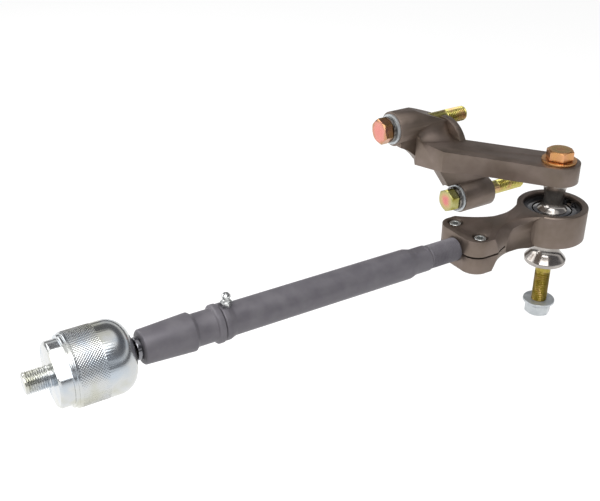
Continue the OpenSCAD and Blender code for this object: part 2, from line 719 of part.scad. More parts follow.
rack_housing();
ball_seat();
seat_liner();
preload_disc();
ball_stud();
boot_adapter();
swivel_seal();
swivel_bush();
swivel_clip();
rod_tube();
grease_fitting();
grease_ball();
clamp_end();
pinch_screw_front();
pinch_screw_rear();
bearing_race();
bearing_liner();
bearing_ball();
retaining_ring_upper();
retaining_ring_lower();
upper_spacer();
lower_spacer();
brace_arm();
pivot_bolt();
pivot_washer();
flange_nut();
knuckle_bolt_upper();
knuckle_bolt_lower();
knuckle_washers();
knuckle_lock_washers();
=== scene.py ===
import math

import bmesh
import bpy
import numpy as np
from mathutils import Matrix


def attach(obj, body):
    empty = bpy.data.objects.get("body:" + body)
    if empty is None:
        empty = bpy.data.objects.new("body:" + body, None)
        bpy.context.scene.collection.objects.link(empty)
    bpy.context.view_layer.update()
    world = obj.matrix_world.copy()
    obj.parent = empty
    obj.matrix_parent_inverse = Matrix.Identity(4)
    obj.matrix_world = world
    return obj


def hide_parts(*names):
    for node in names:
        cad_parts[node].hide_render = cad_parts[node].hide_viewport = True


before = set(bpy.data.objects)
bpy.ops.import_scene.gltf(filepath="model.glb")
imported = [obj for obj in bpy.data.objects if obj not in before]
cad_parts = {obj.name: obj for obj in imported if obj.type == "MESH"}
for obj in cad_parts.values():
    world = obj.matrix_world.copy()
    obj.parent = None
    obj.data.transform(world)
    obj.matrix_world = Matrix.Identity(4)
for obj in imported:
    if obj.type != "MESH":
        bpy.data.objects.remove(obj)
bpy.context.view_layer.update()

# Camera and studio: the photograph's own view, worked out from the edges of the round
# parts, with broad soft lamps and a plain white room, as in a product picture.
camera_data = bpy.data.cameras.new("camera")
camera_data.lens = 53.68
camera_data.sensor_width = 36.0
camera_data.clip_end = 20.0
camera = bpy.data.objects.new("camera", camera_data)
right, down, ahead = (0.8573, -0.5147, 0.0), (-0.2456, -0.4091, -0.8788), (0.4523, 0.7535, -0.4772)
camera.matrix_world = Matrix((
    (right[0], -down[0], -ahead[0], -0.10624),
    (right[1], -down[1], -ahead[1], -0.50042),
    (right[2], -down[2], -ahead[2], 0.35756),
    (0, 0, 0, 1)))
bpy.context.scene.collection.objects.link(camera)
bpy.context.scene.camera = camera
bpy.context.scene.view_settings.view_transform = "Standard"


def srgb(code, alpha=1.0):
    """A hex colour as it looks on screen, turned to the linear values that Blender works in."""
    c = np.array([int(code[i:i + 2], 16) for i in (1, 3, 5)]) / 255.0
    c = np.where(c <= 0.04045, c / 12.92, ((c + 0.055) / 1.055) ** 2.4)
    return (*(float(v) for v in c), alpha)


def add(owner, kind, settings=None, **links):
    """Adds one node to a material or a world, sets its own settings, and gives each input a
    value or a link. An input is named, or numbered as in0, in1 and so on."""
    made = owner.node_tree.nodes.new(kind)
    for key, value in (settings or {}).items():
        setattr(made, key, value)
    for key, value in links.items():
        socket = made.inputs[int(key[2:])] if key.startswith("in") and key[2:].isdigit() \
            else made.inputs[key.replace("_", " ")]
        if isinstance(value, bpy.types.NodeSocket):
            owner.node_tree.links.new(value, socket)
        else:
            socket.default_value = value
    return made


def blank(name):
    """An empty material and its output node."""
    material = bpy.data.materials.new(name)
    material.use_nodes = True
    material.node_tree.nodes.clear()
    return material, material.node_tree.nodes.new("ShaderNodeOutputMaterial")


def lamp(name, size, power, at, towards):
    """A square white area lamp that looks from one point to another."""
    data = bpy.data.lights.new(name, "AREA")
    data.size, data.energy = size, power
    made = bpy.data.objects.new(name, data)
    back = np.array(at, float) - np.array(towards, float)
    side = np.cross((0.0, 0.1, 1.0), back)
    side, back = side / np.linalg.norm(side), back / np.linalg.norm(back)
    made.matrix_world = Matrix(np.vstack([np.column_stack(
        [side, np.cross(back, side), back, at]), [0, 0, 0, 1]]).tolist())
    bpy.context.scene.collection.objects.link(made)


lamp("key_lamp", 1.2, 20.0, (-0.35, -0.7, 1.35), (0.27, 0.0, 0.0))
lamp("rear_lamp", 1.0, 8.0, (-0.5, 1.2, 0.8), (0.3, 0.0, 0.0))
lamp("left_lamp", 0.8, 5.0, (-1.1, 0.3, 0.4), (0.2, 0.0, 0.0))

world = bpy.data.worlds.new("studio")
world.use_nodes = True
bpy.context.scene.world = world
world.node_tree.nodes.clear()
sky = add(world, "ShaderNodeBackground", Color=(1, 1, 1, 1), Strength=0.62)
white = add(world, "ShaderNodeBackground", Color=(1, 1, 1, 1), Strength=1.0)
ray = add(world, "ShaderNodeLightPath")
# Metal mirrors a room: dim at the horizon, a bright band above it, dim walls, a bright ceiling.
aim = add(world, "ShaderNodeTexCoord")
height = add(world, "ShaderNodeSeparateXYZ", Vector=aim.outputs["Generated"])
room = add(world, "ShaderNodeValToRGB", Fac=height.outputs["Z"])
room.color_ramp.elements[0].color = srgb("#4A4A4E")
room.color_ramp.elements[1].color = srgb("#FAFAFA")
for where, colour in ((0.16, "#505054"), (0.22, "#F6F6F6"), (0.34, "#F0F0F0"), (0.42, "#6E6E72"),
                      (0.8, "#646468"), (0.88, "#FAFAFA")):
    room.color_ramp.elements.new(where).color = srgb(colour)
mirrored = add(world, "ShaderNodeBackground", Color=room.outputs["Color"], Strength=1.0)
lit = add(world, "ShaderNodeMixShader", in0=ray.outputs["Is Glossy Ray"], in1=sky.outputs[0],
          in2=mirrored.outputs[0])
pick = add(world, "ShaderNodeMixShader", in0=ray.outputs["Is Camera Ray"],
           in1=lit.outputs[0], in2=white.outputs[0])
world.node_tree.links.new(pick.outputs[0],
                          world.node_tree.nodes.new("ShaderNodeOutputWorld").inputs[0])

# White floor: it shows as plain white to the camera and in metal, and still takes a soft
# shadow. It lies lower than any pose reaches.
floor_mesh = bpy.data.meshes.new("floor")
FLOOR, FLOOR_Z = 6.0, -0.195
floor_mesh.from_pydata([(-FLOOR, -FLOOR, FLOOR_Z), (FLOOR, -FLOOR, FLOOR_Z),
                        (FLOOR, FLOOR, FLOOR_Z), (-FLOOR, FLOOR, FLOOR_Z)], [], [(0, 1, 2, 3)])
floor = bpy.data.objects.new("floor", floor_mesh)
bpy.context.scene.collection.objects.link(floor)
paper, out = blank("white_paper")
ray = add(paper, "ShaderNodeLightPath")
matt = add(paper, "ShaderNodeBsdfDiffuse", Color=srgb("#B4B4B4"))
glow = add(paper, "ShaderNodeEmission", Color=(1, 1, 1, 1), Strength=0.62)
seen = add(paper, "ShaderNodeMath", {"operation": "MAXIMUM"},
           in0=ray.outputs["Is Camera Ray"], in1=ray.outputs["Is Glossy Ray"])
both = add(paper, "ShaderNodeAddShader", in0=matt.outputs[0], in1=glow.outputs[0])
pick = add(paper, "ShaderNodeMixShader", in0=seen.outputs[0], in1=matt.outputs[0], in2=both.outputs[0])
paper.node_tree.links.new(pick.outputs[0], out.inputs[0])
floor_mesh.materials.append(paper)


# Rack end: a turned and zinc plated steel housing. Its barrel is diamond knurled for grip,
# the mouth is rolled over the ball seat, and the M16 stud in front screws into the rack.
MM = 0.001


def rounded(points, radius, steps=4):
    """A profile with its inner corners eased: each corner P becomes the curve
    (1-t)^2 A + 2t(1-t) P + t^2 B, where A and B lie one radius, or less, along its two edges."""
    p = np.array(points, float)
    before, here, after = p[:-2], p[1:-1], p[2:]
    r = np.broadcast_to(np.asarray(radius, float), here.shape[:1])[:, None]
    la = np.linalg.norm(before - here, axis=1, keepdims=True)
    lb = np.linalg.norm(after - here, axis=1, keepdims=True)
    a = here + (before - here) / la * np.minimum(r, la * 0.45)
    b = here + (after - here) / lb * np.minimum(r, lb * 0.45)
    t = np.linspace(0, 1, steps)[None, :, None]
    curve = (1 - t) ** 2 * a[:, None] + 2 * t * (1 - t) * here[:, None] + t ** 2 * b[:, None]
    return np.vstack([p[:1], curve.reshape(-1, 2), p[-1:]])


def divided(profile, step, low, high):
    """A profile with more points where its station lies between low and high: it is sampled by
    its own length at every old point and, in that stretch, at every step."""
    length = np.r_[0, np.cumsum(np.linalg.norm(np.diff(profile, axis=0), axis=1))]
    more = np.arange(0, length[-1], step)
    station = np.interp(more, length, profile[:, 0])
    every = np.unique(np.round(np.r_[length, more[(station > low) & (station < high)]], 4))
    return np.column_stack([np.interp(every, length, profile[:, i]) for i in (0, 1)])


def turned(name, profile, sides, start, along, form=None, sharp=32.0):
    """A turned piece: point (station, radius) of the profile at angle a lies at
    start + station * along + radius * (cos a * u + sin a * v), with u and v square to along.
    form(station, angle, radius) may change the radius. A radius of 0 at an end is a pole, and a
    profile without poles closes on itself, as a ring's section does."""
    profile = np.asarray(profile, float)
    along = np.asarray(along, float) / np.linalg.norm(along)
    u = np.cross((0, 1, 0) if abs(along[1]) < 0.9 else (0, 0, 1), along)
    u /= np.linalg.norm(u)
    v = np.cross(along, u)
    pole_a, pole_b = profile[0, 1] < 1e-6, profile[-1, 1] < 1e-6
    rings = profile[int(pole_a):len(profile) - int(pole_b)]
    angle = np.arange(sides) * 2 * np.pi / sides
    station, ring_angle = np.meshgrid(rings[:, 0], angle, indexing="ij")
    radius = np.repeat(rings[:, 1:2], sides, axis=1)
    if form is not None:
        radius = form(station, ring_angle, radius)
    origin = np.asarray(start, float)
    points = (origin + station[..., None] * along + radius[..., None]
              * (np.cos(ring_angle)[..., None] * u + np.sin(ring_angle)[..., None] * v)).reshape(-1, 3)
    n = len(rings)
    open_ends = int(pole_a or pole_b)
    i, j = np.meshgrid(np.arange(n - open_ends), np.arange(sides), indexing="ij")
    k, ni = (j + 1) % sides, (i + 1) % n
    quads = np.stack([i * sides + j, i * sides + k, ni * sides + k, ni * sides + j], -1).reshape(-1, 4)
    faces = quads.tolist()
    ring = np.arange(sides)
    if pole_a:
        points = np.vstack([points, origin + profile[0, 0] * along])
        faces += np.column_stack([np.full(sides, len(points) - 1), (ring + 1) % sides,
                                  ring]).tolist()
    if pole_b:
        points = np.vstack([points, origin + profile[-1, 0] * along])
        last = (n - 1) * sides
        faces += np.column_stack([np.full(sides, len(points) - 1), last + ring,
                                  last + (ring + 1) % sides]).tolist()
    return placed(name, points, faces, sharp)


def placed(name, points, faces, sharp=32.0):
    """An object at the origin from points in millimetres, its faces turned outwards and its
    edges kept crisp where they bend by more than sharp degrees."""
    mesh = bpy.data.meshes.new(name)
    mesh.from_pydata((np.asarray(points) * MM).tolist(), [], faces)
    work = bmesh.new()
    work.from_mesh(mesh)
    bmesh.ops.remove_doubles(work, verts=work.verts, dist=1e-7)
    bmesh.ops.recalc_face_normals(work, faces=work.faces)
    work.to_mesh(mesh)
    work.free()
    mesh.polygons.foreach_set("use_smooth", np.ones(len(mesh.polygons), bool))
    mesh.set_sharp_from_angle(angle=math.radians(sharp))
    made = bpy.data.objects.new(name, mesh)
    bpy.context.scene.collection.objects.link(made)
    return made


def fitted(piece, material, body, slot, *nodes):
    """Gives a piece its finish and its body, and hides the CAD nodes that it stands for. Its slot is not used.
    """
    piece.data.materials.clear()
    piece.data.materials.append(material)
    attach(piece, body)
    if nodes:
        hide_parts(*nodes)
    return piece


def threaded(station, angle, radius, start, end, pitch):
    """Radius less a V groove that climbs one pitch a turn. With w a triangle wave of
    station / pitch - angle / 2 pi, its depth is 0.6 pitch times 1.3 w - 0.15, kept between 0
    and 1, so crest and root are flat; it fades out over one pitch at both ends."""
    wave = np.abs(2 * ((station / pitch - angle / (2 * np.pi)) % 1.0) - 1)
    fade = np.clip((station - start) / pitch, 0, 1) * np.clip((end - station) / pitch, 0, 1)
    inside = (radius > 1.0) & (station > start) & (station < end)
    return np.where(inside, radius - 0.6 * pitch * fade * np.clip(1.3 * wave - 0.15, 0, 1), radius)


def metal(name, colours, rough, mottle_mm, grain_mm=0.0, grain=0.0, stretch=(1, 1, 1), metallic=1.0):
    """A metal finish: two or more colours and two roughnesses follow a cloudy noise of the given
    size, and a finer noise, stretched along the tool marks, gives the surface its grain."""
    material, out = blank(name)
    place = add(material, "ShaderNodeTexCoord")
    cloud = add(material, "ShaderNodeTexNoise", Vector=place.outputs["Object"],
                Scale=1000.0 / mottle_mm, Detail=3.0, Roughness=0.55)
    tone = add(material, "ShaderNodeValToRGB", Fac=cloud.outputs["Fac"])
    ramp = tone.color_ramp.elements
    ramp[0].position, ramp[0].color = 0.36, srgb(colours[0])
    ramp[1].position, ramp[1].color = 0.66, srgb(colours[-1])
    for index, colour in enumerate(colours[1:-1]):
        ramp.new(0.36 + 0.3 * (index + 1) / (len(colours) - 1)).color = srgb(colour)
    gloss = add(material, "ShaderNodeMapRange", Value=cloud.outputs["Fac"],
                in1=0.3, in2=0.7, in3=rough[0], in4=rough[1])
    shader = add(material, "ShaderNodeBsdfPrincipled", Base_Color=tone.outputs["Color"],
                 Metallic=metallic, Roughness=gloss.outputs[0])
    if grain:
        turn = add(material, "ShaderNodeMapping", Vector=place.outputs["Object"],
                   Scale=tuple(s * 1000.0 / grain_mm for s in stretch))
        fine = add(material, "ShaderNodeTexNoise", Vector=turn.outputs[0], Scale=1.0, Detail=2.0)
        bump = add(material, "ShaderNodeBump", Height=fine.outputs["Fac"], Distance=grain * MM,
                   Strength=0.5)
        material.node_tree.links.new(bump.outputs[0], shader.inputs["Normal"])
    material.node_tree.links.new(shader.outputs[0], out.inputs[0])
    return material


# Bright zinc plating on turned steel: silvery, with a soft sheen that drifts faintly
# between yellow and blue.
zinc_plating = metal("bright_zinc_plating", ["#BDBDB2", "#C6C8C8", "#B8C0C8"], (0.17, 0.25), 26.0,
                     0.5, 0.01, (0.3, 1, 1))

COLLAR_FLATS = 41.0
COLLAR_TURN = math.radians(40)
KNURL_COUNT, KNURL_PITCH, KNURL_DEPTH = 84, 2.0, 0.32
KNURL_FROM, KNURL_TO = 13.2, 33.4
BARREL_R, MOUTH_R = 26.7, 15.0
BALL_X = 37.0


def knurled(station, angle, radius):
    """Diamond knurl and wrench flats. The knurl is two sets of V grooves that climb the barrel
    in opposite directions: each lies on the top 0.4 of a triangle wave, so the diamonds keep
    flat tops. The grooves fade out over 0.7 mm at both ends. A wrench flat limits the radius
    to half its width over the cosine of the angle."""
    one = np.abs(2 * ((KNURL_COUNT * angle / (2 * np.pi) + station / KNURL_PITCH) % 1) - 1)
    two = np.abs(2 * ((KNURL_COUNT * angle / (2 * np.pi) - station / KNURL_PITCH) % 1) - 1)
    band = np.clip((station - KNURL_FROM) / 0.7, 0, 1) * np.clip((KNURL_TO - station) / 0.7, 0, 1)
    groove = np.clip((np.maximum(one, two) - 0.6) / 0.4, 0, 1)
    outer = (radius > BARREL_R - 2) & (station > KNURL_FROM) & (station < KNURL_TO)
    made = np.where(outer, radius - KNURL_DEPTH * band * groove, radius)
    flat = (COLLAR_FLATS / 2) / np.maximum(np.abs(np.cos(angle - COLLAR_TURN)), 1e-3)
    return np.where((station < 9.2) & (radius > 12), np.minimum(made, np.maximum(flat, 20.5)), made)


shoulder = np.linspace(0, math.radians(78), 15)
barrel_profile = rounded([(0.05, 0.0), (0.05, 21.9), (1.5, 23.4), (9.2, 23.4), (9.25, 25.1), (9.8, 25.6),
                          (11.7, 25.6), (11.75, 26.2), (12.2, BARREL_R), (41.6, BARREL_R)], 0.4)
barrel_profile = divided(barrel_profile, 0.3333, KNURL_FROM - 0.2, KNURL_TO + 0.2)[:-1]
barrel_profile = np.vstack([barrel_profile, np.column_stack(
    [41.6 + MOUTH_R * np.sin(shoulder), BARREL_R - MOUTH_R + MOUTH_R * np.cos(shoulder)])])
socket = np.linspace(math.radians(46), math.radians(160), 12)
barrel_profile = np.vstack([barrel_profile, rounded(
    [(56.3, 14.5), (54.6, 12.8), (49.8, 12.8), (49.7, 13.1)], 0.6),
    np.column_stack([BALL_X + 18.25 * np.cos(socket), 18.25 * np.sin(socket)]), [(19.8, 5.0), (19.8, 0.0)]])
fitted(turned("rack_housing_knurled", barrel_profile, 6 * KNURL_COUNT, (0, 0, 0), (1, 0, 0), knurled, sharp=40),
       zinc_plating, "rack_end", "zinc_steel", "rack_housing")

FINE_PITCH = 1.5
rack_stud = divided(rounded([(-18.0, 0.0), (-18.0, 6.9), (-16.9, 8.0), (-1.2, 8.0), (-1.0, 7.2), (0.3, 7.2),
                             (0.3, 0.0)], 0.25), 0.18, -17.9, -1.0)
fitted(turned("rack_stud_thread", rack_stud, 72, (0, 0, 0), (1, 0, 0),
              lambda s, a, r: threaded(s, a, r, -17.5, -1.4, FINE_PITCH), sharp=60),
       zinc_plating, "rack_end", "zinc_steel")


# Inside the ball joint: a moulded seat, its woven liner and the coned spring disc. Of these
# only the seat's and the liner's edges show, deep in the mouth.
def plain(name, colours, rough, mottle_mm, bump_mm, height, sheen=0.0):
    """A finish that isn't metal: two colours follow a cloudy noise, and a finer one of the
    given size is the surface's texture."""
    material, out = blank(name)
    place = add(material, "ShaderNodeTexCoord")
    cloud = add(material, "ShaderNodeTexNoise", Vector=place.outputs["Object"],
                Scale=1000.0 / mottle_mm, Detail=3.0)
    tone = add(material, "ShaderNodeMix", {"data_type": "RGBA"}, in0=cloud.outputs["Fac"],
               in6=srgb(colours[0]), in7=srgb(colours[1]))
    fine = add(material, "ShaderNodeTexNoise", Vector=place.outputs["Object"],
               Scale=1000.0 / bump_mm, Detail=2.0)
    bump = add(material, "ShaderNodeBump", Height=fine.outputs["Fac"], Distance=height * MM, Strength=0.6)
    shader = add(material, "ShaderNodeBsdfPrincipled", Base_Color=tone.outputs[2], Roughness=rough,
                 Normal=bump.outputs[0], Sheen_Weight=sheen)
    material.node_tree.links.new(shader.outputs[0], out.inputs[0])
    return material


# Moulded polymer is off-white with a greasy sheen, woven bearing cloth dark and dull, and
# oiled spring steel dark with a soft shine.
seat_polymer = plain("greased_seat_polymer", ["#8E8A7C", "#A9A595"], 0.35, 6.0, 0.6, 0.02)
woven_liner = plain("woven_liner_cloth", ["#1C1916", "#2C2722"], 0.6, 3.0, 0.5, 0.05, 0.2)
spring_steel = metal("oiled_spring_steel", ["#3A3A3C", "#4A4A4C"], (0.28, 0.4), 4.0, 0.3, 0.01)


def dressed(node, material):
    """Gives a CAD node that stays in view its finish."""
    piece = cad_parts[node]
    piece.data.materials.clear()
    piece.data.materials.append(material)


dressed("ball_seat", seat_polymer)
dressed("seat_liner", woven_liner)
dressed("preload_disc", spring_steel)

# Ball stud: forged alloy steel, its ball and neck polished. The neck is the dark bright
# piece between the mouth and the adapter, and its shank is fixed in the adapter.
polished_steel = metal("polished_alloy_steel", ["#6E6E72", "#86868A"], (0.12, 0.2), 5.0)
ball = np.linspace(math.pi, math.radians(33), 26)
STUD_BALL_R = 15.5
stud_profile = np.vstack([np.column_stack(
    [BALL_X + STUD_BALL_R * np.cos(ball), STUD_BALL_R * np.abs(np.sin(ball))]), rounded(
    [(50.2, 8.3), (53.2, 7.0), (58.6, 7.0), (60.0, 8.4), (63.4, 8.4), (63.5, 6.0), (108.6, 6.0), (109.6, 5.0),
     (109.6, 0.0)], [1.5, 0.6, 0.6, 0.3, 0.1, 0.5, 0.5])])
stud_profile[0, 1] = 0.0
fitted(turned("ball_stud_polished", stud_profile, 96, (0, 0, 0), (1, 0, 0)), polished_steel, "stud",
       "forged_steel", "ball_stud")

# Boot adapter: a turned steel sleeve with a slight taper, the groove for the boot's small
# lip and a flange. It sits on the ball stud's shank, and the tube swivels on its spigot.
# Its hard grey-violet conversion coating is matte and a little uneven.
grey_coating = metal("grey_conversion_coating", ["#646167", "#706D72"], (0.42, 0.54), 14.0, 0.5, 0.03,
                     (0.3, 1, 1), metallic=0.35)
adapter_profile = rounded([(63.6, 6.05), (63.6, 11.6), (64.8, 12.8), (102.2, 14.6), (103.6, 13.4),
                           (105.0, 12.4), (119.4, 12.4), (119.8, 13.6), (120.8, 14.8), (124.5, 14.8),
                           (124.9, 14.4), (124.9, 7.7), (148.0, 7.7), (148.0, 7.0), (149.6, 7.0), (149.6, 7.7),
                           (152.2, 7.7), (153.0, 6.9), (153.0, 0.0)], 0.35)
adapter_profile = np.vstack([[(111.6, 0.0), (111.6, 6.05)], adapter_profile])
fitted(turned("boot_adapter_turned", adapter_profile, 120, (0, 0, 0), (1, 0, 0)), grey_coating, "stud",
       "coated_steel", "boot_adapter")

# Swivel: a nitrile seal ring, a bronze bush and a spring ring, all hidden under the tube's
# collar, which turns on them. Rubber is black and dull, turned bronze a warm brown.
nitrile = plain("nitrile_rubber", ["#0C0C0C", "#161616"], 0.5, 4.0, 0.3, 0.01)
bronze = metal("turned_bronze", ["#8A6434", "#A67C46"], (0.25, 0.4), 5.0)
dressed("swivel_seal", nitrile)
dressed("swivel_bush", bronze)
dressed("swivel_clip", spring_steel)

# Tube: turned steel with the same grey coating. Its collar runs on the adapter's bush and
# takes the grease fitting on a spot face; the far end has wrench flats and the M20 thread.
WRENCH_FLATS, FLATS_FROM, FLATS_TO = 19.0, 301.9, 313.4
FITTING_X, SPOT_Z, SPOT_R = 131.8, 12.3, 6.0


def tube_form(station, angle, radius):
    """Thread, wrench flats and spot face. A flat at height h limits the radius to h over the
    cosine of the angle from it; the spot face does so inside its own circle."""
    made = threaded(station, angle, radius, 315.6, 370.0, FINE_PITCH)
    flat = (WRENCH_FLATS / 2) / np.maximum(np.abs(np.cos(angle)), 1e-3)
    in_flats = (station > FLATS_FROM) & (station < FLATS_TO) & (radius > 9.9)
    made = np.where(in_flats, np.minimum(made, np.maximum(flat, WRENCH_FLATS / 2)), made)
    top = -np.cos(angle)
    high = SPOT_Z / np.maximum(top, 1e-3)
    near = (station - FITTING_X) ** 2 + (radius * np.sin(angle)) ** 2 < SPOT_R ** 2
    on_top = near & (top > 0.5) & (radius > 11.5)
    return np.where(on_top, np.minimum(made, high), made)


tube_profile = rounded([(125.6, 13.4), (126.4, 14.2), (130.0, 14.2), (134.6, 12.5), (294.4, 12.5),
                        (300.4, 10.8), (314.5, 10.8), (315.3, 10.0), (370.1, 10.0), (371.2, 8.8),
                        (371.2, 0.0)], 0.8)
tube_bore = [(288.0, 0.0), (288.0, 8.0), (147.6, 8.0), (147.6, 10.2), (125.6, 10.2)]
tube_profile = np.vstack([tube_bore, tube_profile])
tube_profile = divided(divided(tube_profile, 0.5, 125.7, 138.0), 0.16, 315.3, 370.5)
tube_profile = divided(tube_profile, 0.4, 299.0, 315.0)
fitted(turned("rod_tube_turned", tube_profile, 120, (0, 0, 0), (1, 0, 0), tube_form, sharp=38), grey_coating,
       "tube", "coated_steel", "rod_tube")


# Grease fitting: a turned steel nipple with an 8 mm hexagon, bright zinc plated. It screws
# into the collar, and a small ground ball closes its end.
def hexagon(across, angle, turn=0.0):
    """Radius of a hexagon of the given width across its flats, one of them at angle turn."""
    return across / 2 / np.cos((angle - turn + np.pi / 6) % (np.pi / 3) - np.pi / 6)


nipple_zinc = metal("nipple_zinc_plating", ["#C4C6C4", "#D6D8D8"], (0.16, 0.28), 3.0)
nipple = rounded([(-1.6, 0.0), (-1.6, 2.5), (0.0, 2.5), (0.05, 4.0), (0.5, 4.7), (3.7, 4.7), (4.2, 4.0),
                  (4.25, 3.2), (5.4, 3.2), (6.4, 2.6), (7.2, 2.6), (8.0, 3.4), (9.4, 3.4), (10.8, 2.0),
                  (10.8, 0.9), (9.6, 0.9), (9.6, 0.0)], 0.3)
fitted(turned("grease_nipple", divided(nipple, 0.15, 0.0, 4.3), 72, (FITTING_X, 0, SPOT_Z), (0, 0, 1),
              lambda s, a, r: np.minimum(r, hexagon(8.0, a))),
       nipple_zinc, "tube", "bright_zinc", "grease_fitting")
ball_steel = metal("ground_bearing_steel", ["#9B9B9B", "#B5B5B5"], (0.07, 0.14), 8.0)
dressed("grease_ball", ball_steel)


# Clamp end: billet aluminium, turned and milled, then hard anodised bronze-grey. A slit
# between the jaws lets two socket screws squeeze the thread, and the ring holds the bearing.
def milled(name, node, width, material, body, slot):
    """A copy of a CAD node with its doubles merged, flat faces joined and every edge that
    bends by more than 30 degrees broken by a small bevel."""
    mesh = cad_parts[node].data.copy()
    mesh.name = name
    work = bmesh.new()
    work.from_mesh(mesh)
    bmesh.ops.remove_doubles(work, verts=work.verts, dist=2e-6)
    bmesh.ops.dissolve_limit(work, angle_limit=math.radians(0.5), verts=work.verts, edges=work.edges)
    work.to_mesh(mesh)
    work.free()
    made = bpy.data.objects.new(name, mesh)
    bpy.context.scene.collection.objects.link(made)
    mesh.polygons.foreach_set("use_smooth", np.ones(len(mesh.polygons), bool))
    edge = made.modifiers.new("edge_break", "BEVEL")
    edge.width, edge.segments, edge.limit_method = width * MM, 2, "ANGLE"
    edge.angle_limit, edge.harden_normals = math.radians(30), True
    return fitted(made, material, body, slot, node)


# Bronze-grey anodising over milled aluminium: satin, with fine tool marks and edges that
# catch a paler line of light.
anodised = metal("bronze_grey_anodising", ["#75695F", "#857870"], (0.44, 0.52), 22.0, 0.4, 0.012)
milled("clamp_end_milled", "clamp_end", 0.45, anodised, "rod_end", "billet")


# Pinch screws: M8 socket head screws, zinc plated, sunk in counterbores above the slit.
def socket_form(station, angle, radius):
    """Hexagon socket 5 mm wide inside the head, and the thread on the shank."""
    made = np.where((radius > 2.2) & (radius < 2.95) & (station > 4.4), hexagon(5.0, angle), radius)
    return threaded(station, angle, made, -18.0, -4.0, 1.25)


screw_zinc = metal("silver_zinc_plating", ["#9A9C9A", "#B4B6B4"], (0.2, 0.3), 4.0, metallic=0.8)
SCREW_X, SCREW_Y, SCREW_SEAT_Z = 358.2, 16.0, 6.02
screw = rounded([(-18.5, 0.0), (-18.5, 3.2), (-17.7, 4.0), (0.0, 4.0), (0.0, 5.0), (7.8, 5.0), (8.4, 4.4),
                 (8.4, 3.1), (8.0, 2.9), (7.9, 2.85), (4.5, 2.8), (3.7, 0.0)], 0.3)
for name, y in (("front", -SCREW_Y), ("rear", SCREW_Y)):
    fitted(turned("pinch_screw_socket_" + name, divided(screw, 0.2, -18.0, -4.0), 72,
                  (SCREW_X, y, SCREW_SEAT_Z), (0, 0, 1), socket_form),
           screw_zinc, "rod_end", "bright_zinc", "pinch_screw_" + name)

# Spherical bearing: a ground steel race and a hard chromed ball that turns on the woven
# liner, kept in the ring by two spring steel retaining rings.
BEARING_X, BEARING_BALL_R, RACE_R, BALL_HALF = 456.0, 19.05, 20.25, 10.0
across = np.linspace(math.radians(-29.6), math.radians(29.6), 16)
race_profile = np.vstack([rounded([(-10.0, 17.7), (-10.0, 25.4), (10.0, 25.4), (10.0, 17.7)], 0.8),
                          RACE_R * np.column_stack([np.sin(across[::-1]), np.cos(across[::-1])])[1:-1]])
fitted(turned("bearing_race_ground", race_profile, 128, (BEARING_X, 0, 0), (0, 0, 1)), ball_steel, "rod_end",
       "bearing_steel", "bearing_race")
across = np.linspace(math.radians(-31.0), math.radians(31.0), 28)
ball_profile = np.vstack([rounded([(BALL_HALF, 15.6), (BALL_HALF, 10.2), (BALL_HALF - 0.6, 9.45),
                                   (0.6 - BALL_HALF, 9.45), (-BALL_HALF, 10.2), (-BALL_HALF, 15.6)], 0.5),
                          BEARING_BALL_R * np.column_stack([np.sin(across), np.cos(across)])])
fitted(turned("bearing_ball_chromed", ball_profile, 128, (BEARING_X, 0, 0), (0, 0, 1)), ball_steel, "ball",
       "bearing_steel", "bearing_ball")
dressed("bearing_liner", woven_liner)
dressed("retaining_ring_upper", spring_steel)
dressed("retaining_ring_lower", spring_steel)

# Misalignment spacers: turned and polished stainless steel. Each has a spigot in the ball's
# bore; the lower one spreads to the flange that the steering arm is clamped against.
polished_stainless = metal("polished_stainless", ["#9C9691", "#B4AFAA"], (0.13, 0.2), 9.0, metallic=0.9)
upper = rounded([(1.5, 7.1), (1.5, 9.4), (10.02, 9.4), (10.02, 13.0), (10.7, 13.2), (14.4, 8.7), (24.0, 8.5),
                 (37.7, 11.5), (38.5, 11.0), (38.5, 7.1)], [0.4, 0.3, 0.3, 0.4, 4.0, 6.0, 0.5, 0.3], 9)
fitted(turned("upper_spacer_polished", upper, 96, (BEARING_X, 0, 0), (0, 0, 1)), polished_stainless,
       "knuckle_side", "stainless", "upper_spacer")
lower = rounded([(-1.5, 7.1), (-1.5, 9.4), (-10.02, 9.4), (-10.02, 13.0), (-10.8, 13.2), (-15.6, 10.7),
                 (-29.6, 10.7), (-37.4, 17.6), (-38.6, 18.65), (-41.6, 18.65), (-42.3, 17.9), (-42.3, 7.1)],
                [0.4, 0.3, 0.3, 0.4, 2.5, 6.0, 0.8, 0.6, 0.6, 0.6], 9)
fitted(turned("lower_spacer_polished", lower, 112, (BEARING_X, 0, 0), (0, 0, 1)), polished_stainless,
       "knuckle_side", "stainless", "lower_spacer")

# Brace arm: billet aluminium with the same anodising. It bolts to the knuckle by its two
# bosses and holds the top of the pivot bolt, so the bolt is carried at both ends. A milled
# fillet leads the arm's top up into the upper boss.
milled("brace_arm_milled", "brace_arm", 0.6, anodised, "knuckle_side", "billet")

ARM_TOP, BOSS_R = 55.5, 16.0
KNUCKLE_Y, UPPER_Z, LOWER_Z = 118.0, 65.0, -25.0
BLOCK_TIP_Y, BLOCK_LEAN = 103.6, 0.0754
CROWN_X, CROWN_SLOPE = BEARING_X - 74.5, math.radians(21.5)
LEAST_R, WIDEST_R, STATIONS = 9.5, 18.0, 28


def tube_faces(rings, sides):
    """Faces of a tube: quads between rings of so many points, and one face over each end."""
    i, j = np.meshgrid(np.arange(rings - 1), np.arange(sides), indexing="ij")
    k = (j + 1) % sides
    quads = np.stack([i * sides + j, i * sides + k, (i + 1) * sides + k, (i + 1) * sides + j], -1)
    last = (rings - 1) * sides
    return quads.reshape(-1, 4).tolist() + [list(range(sides)), list(range(last, last + sides))]


